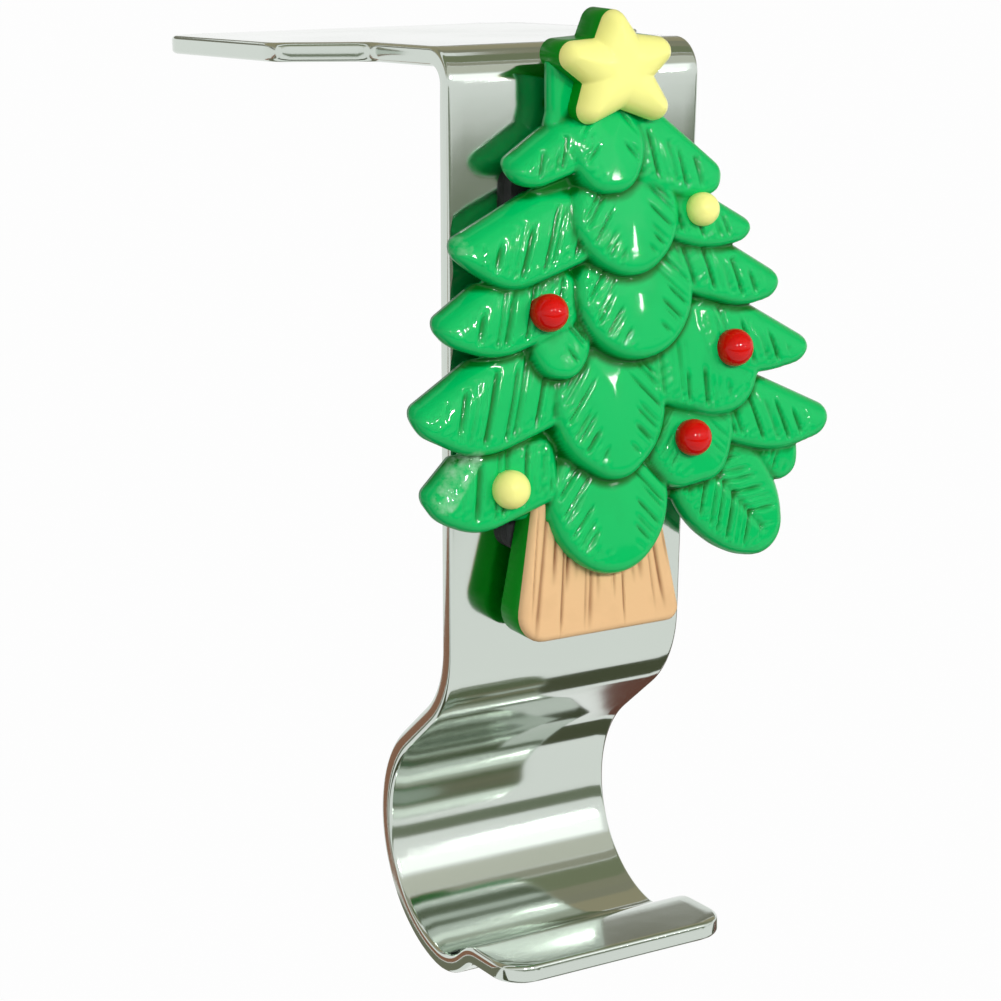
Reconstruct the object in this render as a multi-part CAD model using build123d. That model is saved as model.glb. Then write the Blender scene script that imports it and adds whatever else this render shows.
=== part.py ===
from build123d import *
import os
from collections import namedtuple
from math import cos, inf, radians, sin, tan

# Mantel stocking holder: one stamped and bent strip of plated steel, with a cast
# resin tree bonded to its face by a thin adhesive pad.
# +X runs across the strip, -Y faces the room, +Z is up. The origin is the inner
# corner of the top bend, where the edge of the mantel shelf sits.

# Bent strip: the sheet and its top plate
SHEET_THICKNESS = 2.0
STRIP_TOP_WIDTH = 30.0
STRIP_END_WIDTH = 27.9
EDGE_BREAK = 0.35
SHARP_TURN = 60  # least turn, in degrees, of an edge that is broken
TOP_BEND_INSIDE_RADIUS = 1.7
PLATE_DROOP_ANGLE = 2.8
PLATE_REACH = 49.5
PLATE_WIDTH = 46.0
PLATE_CORNER_RADIUS = 4.0
NECK_REACH = 14.0
SHOULDER_REACH = 21.0
NECK_FILLET_RADIUS = 3.0
SHOULDER_CORNER_RADIUS = 4.0

# Bent strip: the face and the hook below it
FACE_DROP = 60.2
SWING_INSIDE_RADIUS = 10.0
SWING_ANGLE = 50.0
SWING_RUN = 6.9
CRADLE_INSIDE_RADIUS = 12.1
CRADLE_UNDERCUT_ANGLE = 81.0
HEEL_INSIDE_RADIUS = 5.7
HEEL_ANGLE = 48.5
HEEL_RUN = 1.2
HUMP_INSIDE_RADIUS = 3.0
LIP_RISE_ANGLE = 3.0
LIP_RUN = 7.2
LIP_CORNER_RADIUS = 3.6

# Adhesive pad between the strip and the casting
PAD_THICKNESS = 1.4
PAD_WIDTH = 17.0
PAD_HEIGHT = 40.0
PAD_CENTRE_Z = -30.0
PAD_CORNER_RADIUS = 2.0

# Cast tree: the body behind the leaves, the star and the trunk
BODY_DEPTH = 2.4
BODY_SHOULDER = (4.8, -4.0)
BODY_SKIRT_LEFT = (-14.5, -40.0)
BODY_SKIRT_RIGHT = (20.5, -41.5)
BODY_HEM_Z = -46.0
BODY_HEM_INSET = 4.5
STAR_CENTRE = (1.0, 0.0)
STAR_TURN = 7.0
STAR_TIP_REACH = 5.1
STAR_NOTCH_REACH = 2.3
STAR_ROUND = 1.5
STAR_DEPTH = 6.1
STAR_FACE_BREAK = 1.25
TRUNK_CENTRE_X = 0.3
TRUNK_TOP_Z = -40.0
TRUNK_FOOT_Z = -58.7
TRUNK_TOP_WIDTH = 13.6
TRUNK_FOOT_WIDTH = 20.6
TRUNK_TOP_DEPTH = 3.0
TRUNK_FOOT_DEPTH = 4.8
TRUNK_CORNER_ROUND = 1.6
TRUNK_FACE_BREAK = 0.6

# Wings: leaves that reach out to the sides, each drawn by its shoulder, its tip and
# heel at the outer end and its belly below; root_x is where it sinks into the body,
# and rim is how far its lower rim stands in front of the casting's back.
Wing = namedtuple("Wing", "shoulder tip heel belly root_x rim")
LEFT_WINGS = (
    Wing((-4.0, -4.6), (-11.0, -9.1), (-10.0, -11.1), (-7.6, -11.7), -0.5, 4.8),
    Wing((-7.0, -12.0), (-17.8, -17.0), (-14.6, -19.8), (-10.4, -21.9), 0.0, 5.2),
    Wing((-11.6, -19.7), (-19.2, -24.5), (-17.6, -26.7), (-12.2, -28.6), -2.5, 5.2),
    Wing((-11.7, -27.4), (-21.4, -33.1), (-20.6, -35.5), (-14.3, -38.7), -3.0, 5.2),
    Wing((-14.3, -36.7), (-20.1, -42.0), (-18.8, -44.5), (-14.2, -46.5), -4.5, 5.2),
)
RIGHT_WINGS = (
    Wing((6.0, -3.4), (15.4, -10.9), (14.6, -13.4), (11.0, -13.9), 2.0, 4.9),
    Wing((11.0, -12.1), (19.6, -17.0), (18.0, -18.7), (12.8, -19.2), 6.0, 5.1),
    Wing((14.5, -17.5), (23.6, -22.9), (22.0, -25.0), (17.6, -25.7), 7.5, 5.1),
    Wing((16.0, -23.5), (28.0, -30.4), (26.3, -32.4), (19.8, -33.3), 11.5, 4.9),
    Wing((18.5, -32.2), (31.1, -38.2), (29.7, -40.7), (23.0, -42.1), 12.5, 4.9),
    Wing((14.3, -23.8), (20.9, -32.0), (18.9, -36.3), (14.6, -37.2), 6.0, 5.9),
)
WING_TIP_ROUND = 1.35
WING_LOWER_SLOPE = 0.3
WING_RISE = 0.2
WING_TIP_FALL = 0.5

# Bibs: leaves that hang down, the same on both sides of a line from root to tip;
# blunt is the flat share of the tip's width.
Bib = namedtuple("Bib", "root tip half_width blunt rim")
HANGING_BIBS = (
    Bib((-3.9, -22.4), (-5.3, -30.9), 3.8, 0.4, 5.8),
    Bib((21.4, -37.0), (25.2, -45.2), 3.1, 0.4, 3.7),
    Bib((10.8, -38.3), (22.9, -52.2), 5.9, 0.3, 5.1),
    Bib((10.6, -31.0), (12.0, -44.0), 6.2, 0.5, 5.8),
)
CENTRE_BIBS = (
    Bib((0.5, -3.0), (0.6, -12.5), 4.6, 0.4, 6.1),
    Bib((2.3, -8.5), (3.4, -20.9), 6.6, 0.25, 6.7),
    Bib((3.5, -16.0), (4.7, -29.6), 7.4, 0.3, 6.8),
    Bib((0.9, -26.0), (1.6, -42.0), 7.1, 0.2, 6.9),
    Bib((1.3, -36.5), (1.5, -52.1), 7.6, 0.3, 6.9),
)
BIB_ROOT_DEPTH = 3.0
BIB_ROOT_SHARE = 0.6
BIB_BELLY = (0.45, 1.05)
BIB_FLANK = (0.8, 0.82)
ROOT_ROUND = 2.0
LEAF_FACE_BREAK = 0.9
LEAF_BACK_STEP = 1.2

# Baubles: small domes on straight feet, seated in the leaves; depth is how far the
# middle of the dome stands in front of the casting's back.
Bauble = namedtuple("Bauble", "x z radius depth")
RED_BAUBLES = (
    Bauble(-6.8, -23.9, 1.95, 4.9),
    Bauble(16.3, -29.7, 2.0, 4.9),
    Bauble(10.8, -38.6, 1.95, 5.5),
)
YELLOW_BAUBLES = (
    Bauble(11.7, -14.8, 1.75, 4.6),
    Bauble(-10.9, -41.7, 2.0, 4.8),
)

# Values that follow from the sizes above
TOLERANCE = 1e-4
FACE_Y = -SHEET_THICKNESS
TREE_BACK_Y = FACE_Y - PAD_THICKNESS
HALF_SHEET = SHEET_THICKNESS / 2


def bent_path():
    """Middle line of the sheet, from the plate's end to the lip's end."""
    droop = radians(PLATE_DROOP_ANGLE)
    bend = TOP_BEND_INSIDE_RADIUS + HALF_SHEET
    face_top = (HALF_SHEET - bend - TOP_BEND_INSIDE_RADIUS * sin(droop)) / cos(droop)
    start = (-HALF_SHEET, face_top)
    top_bend = JernArc(start, (0, 1), bend, -(90 + PLATE_DROOP_ANGLE))
    run = (PLATE_REACH - (top_bend @ 1).X) / cos(droop) + SHEET_THICKNESS
    plate = PolarLine(top_bend @ 1, run, direction=top_bend % 1)
    face = Line(start, (-HALF_SHEET, -FACE_DROP))
    swing = JernArc(face @ 1, face % 1, SWING_INSIDE_RADIUS + HALF_SHEET, SWING_ANGLE)
    swing_run = PolarLine(swing @ 1, SWING_RUN, direction=swing % 1)
    cradle = JernArc(
        swing_run @ 1,
        swing_run % 1,
        CRADLE_INSIDE_RADIUS + HALF_SHEET,
        -(SWING_ANGLE + CRADLE_UNDERCUT_ANGLE),
    )
    heel = JernArc(cradle @ 1, cradle % 1, HEEL_INSIDE_RADIUS + HALF_SHEET, -HEEL_ANGLE)
    heel_run = PolarLine(heel @ 1, HEEL_RUN, direction=heel % 1)
    hump_angle = CRADLE_UNDERCUT_ANGLE + HEEL_ANGLE - 90 - LIP_RISE_ANGLE
    hump = JernArc(heel_run @ 1, heel_run % 1, HUMP_INSIDE_RADIUS + HALF_SHEET, hump_angle)
    lip = PolarLine(hump @ 1, LIP_RUN, direction=hump % 1)
    return [plate, top_bend, face, swing, swing_run, cradle, heel, heel_run, hump, lip]


def plate_outline():
    """Plan of the top plate: a neck as wide as the strip, then sloping shoulders."""
    half_neck = STRIP_TOP_WIDTH / 2
    half_plate = PLATE_WIDTH / 2
    corners = [
        (half_neck, 0),
        (half_neck, NECK_REACH),
        (half_plate, SHOULDER_REACH),
        (half_plate, PLATE_REACH),
        (-half_plate, PLATE_REACH),
        (-half_plate, SHOULDER_REACH),
        (-half_neck, NECK_REACH),
        (-half_neck, 0),
    ]
    plan = make_face(Polyline(*corners, close=True))
    rounds = (
        (NECK_REACH, NECK_FILLET_RADIUS),
        (SHOULDER_REACH, SHOULDER_CORNER_RADIUS),
        (PLATE_REACH, PLATE_CORNER_RADIUS),
    )
    for depth, radius in rounds:
        plan = fillet(plan.vertices().filter_by(lambda v: abs(v.Y - depth) < TOLERANCE), radius)
    return plan


def face_outline(low_z):
    """Front view of the strip below the top bend: straight sides that close in slightly."""
    half_top = STRIP_TOP_WIDTH / 2
    half_end = STRIP_END_WIDTH / 2
    head_z = 2 * SHEET_THICKNESS
    sides = [(half_top, head_z), (half_top, -head_z), (half_end, low_z)]
    mirrored = [(-x, z) for x, z in reversed(sides)]
    return make_face(Polyline(*sides, *mirrored, close=True))


def sharp_edges(solid, least_turn):
    """Edges of a solid where its surface turns by more than an angle in degrees."""
    neighbours = {}
    for face in solid.faces():
        for edge in face.edges():
            neighbours.setdefault(hash(edge), (edge, []))[1].append(face)
    sharp = ShapeList()
    for edge, faces in neighbours.values():
        middle = edge @ 0.5
        if len(faces) == 2:
            turn = faces[0].normal_at(middle).get_angle(faces[1].normal_at(middle))
            if turn > least_turn:
                sharp.append(edge)
    return sharp


def build_strip():
    """The bent strip with its plate, tapering face and round-cornered lip."""
    section = trace(bent_path(), SHEET_THICKNESS)
    bent = extrude(Plane.YZ * section, PLATE_WIDTH, both=True)
    box = bent.bounding_box()
    plate_zone = Pos(0, NECK_REACH / 2, -FACE_DROP / 2) * Box(
        4 * PLATE_WIDTH, 2 * PLATE_REACH, 2 * FACE_DROP, align=(Align.CENTER, Align.MIN, Align.MIN)
    )
    plate = bent & plate_zone & extrude(plate_outline(), PLATE_REACH, both=True)
    face = (bent - plate_zone) & extrude(Plane.XZ * face_outline(box.min.Z), 2 * box.size.Y, both=True)
    strip = plate + face
    lip_y = strip.bounding_box().min.Y + SHEET_THICKNESS / 4
    lip_ends = strip.edges().filter_by(lambda e: e.center().Y < lip_y and abs(e.center().X) > 1)
    strip = fillet(lip_ends, LIP_CORNER_RADIUS)
    return chamfer(sharp_edges(strip, SHARP_TURN), EDGE_BREAK)


def build_pad():
    """The adhesive pad, filling the gap between the strip's face and the casting."""
    outline = RectangleRounded(PAD_WIDTH, PAD_HEIGHT, PAD_CORNER_RADIUS)
    return extrude(Plane((0, FACE_Y, PAD_CENTRE_Z), (1, 0, 0), (0, -1, 0)) * outline, PAD_THICKNESS)


def front_plane(depth):
    """Plane facing the room, a distance in front of the casting's back."""
    return Plane((0, TREE_BACK_Y - depth, 0), (1, 0, 0), (0, -1, 0))


def rounded_outline(corners):
    """Outline through corners (place, radius), each rounded as far as its two sides allow."""
    places = [Vector(*place) for place, radius in corners]
    rounds = []
    for i, (place, radius) in enumerate(corners):
        back = places[i - 1] - places[i]
        ahead = places[(i + 1) % len(places)] - places[i]
        half = radians(back.get_angle(ahead)) / 2
        reach = min(radius / tan(half), back.length / 2, ahead.length / 2)
        start = places[i] + back.normalized() * reach
        rounds.append(TangentArc(start, places[i] + ahead.normalized() * reach, tangent=-back))
    edges = list(rounds)
    for arc, following in zip(rounds, rounds[1:] + rounds[:1]):
        if (following @ 0 - arc @ 1).length > TOLERANCE:
            edges.append(Line(arc @ 1, following @ 0))
    return make_face(edges)


def wing_outline(wing):
    """Front view of a wing, with its root corners hidden in the body."""
    lower_root_z = wing.belly[1] + WING_LOWER_SLOPE * abs(wing.belly[0] - wing.root_x)
    return rounded_outline(
        [
            (wing.shoulder, ROOT_ROUND),
            (wing.tip, WING_TIP_ROUND),
            (wing.heel, inf),
            (wing.belly, inf),
            ((wing.root_x, lower_root_z), ROOT_ROUND),
            ((wing.root_x, wing.shoulder[1]), ROOT_ROUND),
        ]
    )


def bib_outline(bib):
    """Front view of a bib: full at its belly, closing over the flanks to the tip."""
    root = Vector(*bib.root)
    along = Vector(*bib.tip) - root
    across = Vector(-along.Y, along.X).normalized() * bib.half_width
    side = [(0, BIB_ROOT_SHARE, ROOT_ROUND), (*BIB_BELLY, inf), (*BIB_FLANK, inf), (1, bib.blunt, inf)]
    corners = [(root + along * run + across * reach, radius) for run, reach, radius in side]
    mirrored = [(root + along * run - across * reach, radius) for run, reach, radius in reversed(side)]
    return rounded_outline([((place.X, place.Y), radius) for place, radius in corners + mirrored])


def build_leaf(outline, rim, rise, fall):
    """One leaf: its outline raised to a sloping face with broken edges, clear of the casting's back."""
    box = outline.bounding_box()
    inner_x = box.min.X if fall > 0 else box.max.X
    face_plane = Plane((inner_x, TREE_BACK_Y - rim, box.min.Y), z_dir=(fall, -1, rise))
    block = extrude(front_plane(LEAF_BACK_STEP) * outline, 2 * rim)
    block = split(block, bisect_by=face_plane, keep=Keep.BOTTOM)
    face = max(block.faces(), key=lambda f: f.normal_at().dot(face_plane.z_dir))
    return chamfer(face.edges(), LEAF_FACE_BREAK)


def build_wing(wing):
    """A wing, its face falling away a little toward the tip."""
    fall = WING_TIP_FALL / (wing.tip[0] - wing.root_x)
    return build_leaf(wing_outline(wing), wing.rim, WING_RISE, fall)


def build_bib(bib):
    """A bib, its face level from side to side and sinking toward the root."""
    rise = (bib.rim - BIB_ROOT_DEPTH) / (bib.root[1] - bib.tip[1])
    return build_leaf(bib_outline(bib), bib.rim, rise, 0)


def build_star():
    """Five-pointed star with round points, on the casting's full depth."""
    points = []
    for step in range(10):
        reach = STAR_NOTCH_REACH if step % 2 else STAR_TIP_REACH
        turn = radians(90 + STAR_TURN + 36 * step)
        points.append((reach * cos(turn), reach * sin(turn)))
    outline = offset(make_face(Polyline(*points, close=True)), STAR_ROUND, kind=Kind.ARC)
    star = extrude(front_plane(0) * Pos(*STAR_CENTRE) * outline, STAR_DEPTH)
    return chamfer(star.faces().sort_by(Axis.Y)[0].edges(), STAR_FACE_BREAK)


def build_trunk():
    """Trunk that widens to its foot, its front leaning back under the leaves."""
    half_top = TRUNK_TOP_WIDTH / 2
    half_foot = TRUNK_FOOT_WIDTH / 2
    outline = make_face(
        Polyline(
            (TRUNK_CENTRE_X - half_top, TRUNK_TOP_Z),
            (TRUNK_CENTRE_X + half_top, TRUNK_TOP_Z),
            (TRUNK_CENTRE_X + half_foot, TRUNK_FOOT_Z),
            (TRUNK_CENTRE_X - half_foot, TRUNK_FOOT_Z),
            close=True,
        )
    )
    outline = fillet(outline.vertices().group_by(Axis.Y)[0], TRUNK_CORNER_ROUND)
    rise = (TRUNK_FOOT_DEPTH - TRUNK_TOP_DEPTH) / (TRUNK_TOP_Z - TRUNK_FOOT_Z)
    front = Plane((0, TREE_BACK_Y - TRUNK_FOOT_DEPTH, TRUNK_FOOT_Z), z_dir=(0, -1, rise))
    trunk = split(extrude(front_plane(0) * outline, 2 * TRUNK_FOOT_DEPTH), bisect_by=front, keep=Keep.BOTTOM)
    face = max(trunk.faces(), key=lambda f: f.normal_at().dot(front.z_dir))
    return chamfer(face.edges(), TRUNK_FACE_BREAK)


def build_body():
    """Plain body behind the leaves, from under the star to the lowest leaves."""
    shoulder_x, shoulder_z = BODY_SHOULDER
    outline = make_face(
        Polyline(
            (-shoulder_x, shoulder_z),
            (shoulder_x, shoulder_z),
            BODY_SKIRT_RIGHT,
            (BODY_SKIRT_RIGHT[0] - BODY_HEM_INSET, BODY_HEM_Z),
            (BODY_SKIRT_LEFT[0] + BODY_HEM_INSET, BODY_HEM_Z),
            BODY_SKIRT_LEFT,
            close=True,
        )
    )
    return extrude(front_plane(0) * outline, BODY_DEPTH)


def build_bauble(bauble):
    """A half ball on a round foot that sinks into its leaf."""
    foot = Cylinder(bauble.radius, bauble.radius, align=(Align.CENTER, Align.CENTER, Align.MAX))
    dome = Sphere(bauble.radius, arc_size1=0, align=(Align.CENTER, Align.CENTER, Align.MIN))
    return front_plane(bauble.depth) * Pos(bauble.x, bauble.z) * (dome + foot)


def build_tree():
    """The whole casting: body, leaves, baubles, star and trunk in one solid."""
    leaves = [build_wing(wing) for wing in LEFT_WINGS + RIGHT_WINGS]
    leaves += [build_bib(bib) for bib in HANGING_BIBS + CENTRE_BIBS]
    baubles = [build_bauble(bauble) for bauble in RED_BAUBLES + YELLOW_BAUBLES]
    tree = build_body()
    for piece in leaves + [build_trunk(), build_star()] + baubles:
        tree += piece
    return tree


os.makedirs("parts", exist_ok=True)
export_step(build_strip(), "parts/bent_strip.step")
export_step(build_pad(), "parts/adhesive_pad.step")
export_step(build_tree(), "parts/tree_figure.step")
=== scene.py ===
"""Scene of a mantel stocking holder: a bent, plated strip with a cast and painted tree on its face.

Lengths in the holder's classes are in millimetres, in the part's own frame: +X across the strip, -Y into
the room, +Z up, with the origin in the inner corner of the top bend. The setting's lengths are in metres.
"""

import logging
import math
from collections.abc import Callable, Sequence
from dataclasses import dataclass, field
from enum import Enum

import bmesh
import bpy
import numpy as np
from mathutils import Matrix, Vector

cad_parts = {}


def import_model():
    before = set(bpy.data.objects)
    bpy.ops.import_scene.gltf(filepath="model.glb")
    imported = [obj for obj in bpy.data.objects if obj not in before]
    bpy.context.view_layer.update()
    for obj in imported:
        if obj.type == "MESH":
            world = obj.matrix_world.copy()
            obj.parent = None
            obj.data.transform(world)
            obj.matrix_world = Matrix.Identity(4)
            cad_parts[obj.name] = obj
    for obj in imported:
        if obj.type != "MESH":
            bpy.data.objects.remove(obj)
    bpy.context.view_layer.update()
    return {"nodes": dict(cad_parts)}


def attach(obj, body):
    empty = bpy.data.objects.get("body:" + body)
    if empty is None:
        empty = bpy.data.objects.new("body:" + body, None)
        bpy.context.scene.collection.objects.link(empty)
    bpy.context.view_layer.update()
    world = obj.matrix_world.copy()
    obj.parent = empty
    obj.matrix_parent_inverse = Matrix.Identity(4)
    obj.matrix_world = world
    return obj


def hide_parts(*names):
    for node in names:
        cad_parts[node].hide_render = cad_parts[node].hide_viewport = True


LOG = logging.getLogger("stocking_holder")
MM = 0.001
BODY = "root"
TINY = 1e-12
# A rolled rim stops just short of upright.
RIM_SHARE = 0.985
# Fall of a leaf's height per length outside its outline.
OUTSIDE_FALL = 3.0
# Radius of a corner that is rounded as far as its sides allow.
SOFT = math.inf
Point = tuple[float, float]
Corner = tuple[float, float, float]
Place = tuple[float, float, float]
Colour = tuple[float, float, float]
Field = Callable[[np.ndarray], np.ndarray]


def smoothstep(low: float, high: float, value: np.ndarray) -> np.ndarray:
    """Eases from 0 at low to 1 at high."""
    share = np.clip((value - low) / (high - low), 0.0, 1.0)
    return share * share * (3.0 - 2.0 * share)


def span(value: np.ndarray, rise: Point, fall: Point) -> np.ndarray:
    """Eases from 0 to 1 over the first pair of values, and back to 0 over the second."""
    return smoothstep(*rise, value) * (1.0 - smoothstep(*fall, value))


def soft_max(first: np.ndarray, second: np.ndarray, reach: float) -> np.ndarray:
    """Larger of two fields, with a fillet where they come within reach of each other."""
    near = np.maximum(reach - np.abs(first - second), 0.0) / reach
    return np.maximum(first, second) + near * near * reach / 4.0


def rolled_drop(depth: np.ndarray, radius: float) -> np.ndarray:
    """Fall of a surface that rolls over its rim with a radius, by depth inside the rim."""
    toward_rim = np.clip(1.0 - depth / radius, 0.0, 1.0) * RIM_SHARE
    return radius * (1.0 - np.sqrt(1.0 - toward_rim**2))


def inside_depth(points: np.ndarray, outline: np.ndarray) -> np.ndarray:
    """Distance of points from a closed outline.

    Args:
        points: Places in the outline's plane, one per row.
        outline: Corners of the outline in order.

    Returns:
        One distance per point, positive inside the outline.
    """
    nearest = np.full(len(points), np.inf)
    inside = np.zeros(len(points), bool)
    for start, end in zip(outline, np.roll(outline, -1, axis=0)):
        edge = end - start
        offset = points - start
        share = np.clip(offset @ edge / max(edge @ edge, TINY), 0.0, 1.0)
        nearest = np.minimum(nearest, ((offset - share[:, None] * edge) ** 2).sum(axis=1))
        spans = (start[1] > points[:, 1]) != (end[1] > points[:, 1])
        if abs(edge[1]) > TINY:
            crossing = start[0] + (points[:, 1] - start[1]) * edge[0] / edge[1]
            inside ^= spans & (points[:, 0] < crossing)
    return np.where(inside, 1.0, -1.0) * np.sqrt(nearest)


def corner_arc(
    before: np.ndarray, here: np.ndarray, after: np.ndarray, radius: float, steps: int
) -> list[np.ndarray]:
    """Points on the round of one corner, its radius cut to half of the shorter side.

    Args:
        before: The corner before.
        here: The corner to round.
        after: The corner after.
        radius: Radius of the round.
        steps: Points on the round.

    Returns:
        The points in order.
    """
    back, ahead = before - here, after - here
    room = 0.5 * min(np.hypot(*back), np.hypot(*ahead))
    back, ahead = back / np.hypot(*back), ahead / np.hypot(*ahead)
    half = math.acos(float(np.clip(back @ ahead, -1.0, 1.0))) / 2.0
    radius = min(radius / math.tan(half), room) * math.tan(half)
    inward = (back + ahead) / np.hypot(*(back + ahead))
    across = (ahead - back) / np.hypot(*(ahead - back))
    centre = here + inward * radius / math.sin(half)
    turns = np.linspace(half - math.pi / 2.0, math.pi / 2.0 - half, steps)
    return [centre + radius * (math.sin(turn) * across - math.cos(turn) * inward) for turn in turns]


def rounded_polygon(corners: Sequence[Corner], steps: int = 9) -> np.ndarray:
    """Closed outline through corners, each rounded by its own radius as far as its sides allow.

    Args:
        corners: Place and radius of each corner, in order.
        steps: Points on each round.

    Returns:
        Points of the outline in order.
    """
    spots = np.array([corner[:2] for corner in corners], float)
    chain = []
    for before, here, after, corner in zip(np.roll(spots, 1, 0), spots, np.roll(spots, -1, 0), corners):
        chain += corner_arc(before, here, after, corner[2], steps)
    return np.array(chain)


def rounded_chain(corners: Sequence[Corner], steps: int = 14) -> np.ndarray:
    """Open chain of points through corners, each inner corner rounded by its own radius.

    Args:
        corners: Place and radius of each corner, in order.
        steps: Points on each round.

    Returns:
        Points of the chain in order.
    """
    spots = np.array([corner[:2] for corner in corners], float)
    chain = [spots[0]]
    for before, here, after, corner in zip(spots, spots[1:], spots[2:], corners[1:-1]):
        chain += corner_arc(before, here, after, corner[2], steps)
    chain.append(spots[-1])
    return np.array(chain)


def grid_cells(index: np.ndarray) -> np.ndarray:
    """Vertex indices of each square of a grid, in order round the square."""
    around = [index[:-1, :-1], index[1:, :-1], index[1:, 1:], index[:-1, 1:]]
    return np.stack(around, axis=-1).reshape(-1, 4)


def add_piece(
    name: str,
    points: np.ndarray,
    faces: Sequence[Sequence[int]],
    materials: Sequence[bpy.types.Material],
    slots: Sequence[int] | None = None,
    fields: dict[str, np.ndarray] | None = None,
) -> bpy.types.Object:
    """Makes a smooth-shaded mesh object.

    Args:
        name: Name of the piece.
        points: Vertices in millimetres.
        faces: Vertex indices of each face.
        materials: Materials of the piece, in slot order.
        slots: Material slot of each face, or None for the first.
        fields: Named values per vertex for the materials to read.

    Returns:
        The new object.
    """
    mesh = bpy.data.meshes.new(name)
    mesh.from_pydata((np.asarray(points) * MM).tolist(), [], [list(face) for face in faces])
    for material in materials:
        mesh.materials.append(material)
    if slots is not None:
        mesh.polygons.foreach_set("material_index", np.asarray(slots, np.int32))
    for label, values in (fields or {}).items():
        layer = mesh.attributes.new(label, "FLOAT", "POINT")
        layer.data.foreach_set("value", np.asarray(values, np.float32))
    mesh.shade_smooth()
    mesh.update()
    piece = bpy.data.objects.new(name, mesh)
    bpy.context.scene.collection.objects.link(piece)
    return piece


class RecordSlot(Enum):
    """Record slots of the holder's finishes; no piece takes its finish from them here."""

    STRIP = "chrome_plate"
    TAPE = "foam_tape"
    TREE = "green_enamel"


def log_piece(piece: bpy.types.Object) -> None:
    """Reports one finished piece."""
    LOG.info("%s: %d faces", piece.name, len(piece.data.polygons))


def seat(piece: bpy.types.Object, node: str) -> None:
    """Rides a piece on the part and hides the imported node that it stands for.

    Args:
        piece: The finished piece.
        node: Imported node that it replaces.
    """
    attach(piece, BODY)
    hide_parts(node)
    log_piece(piece)


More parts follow.
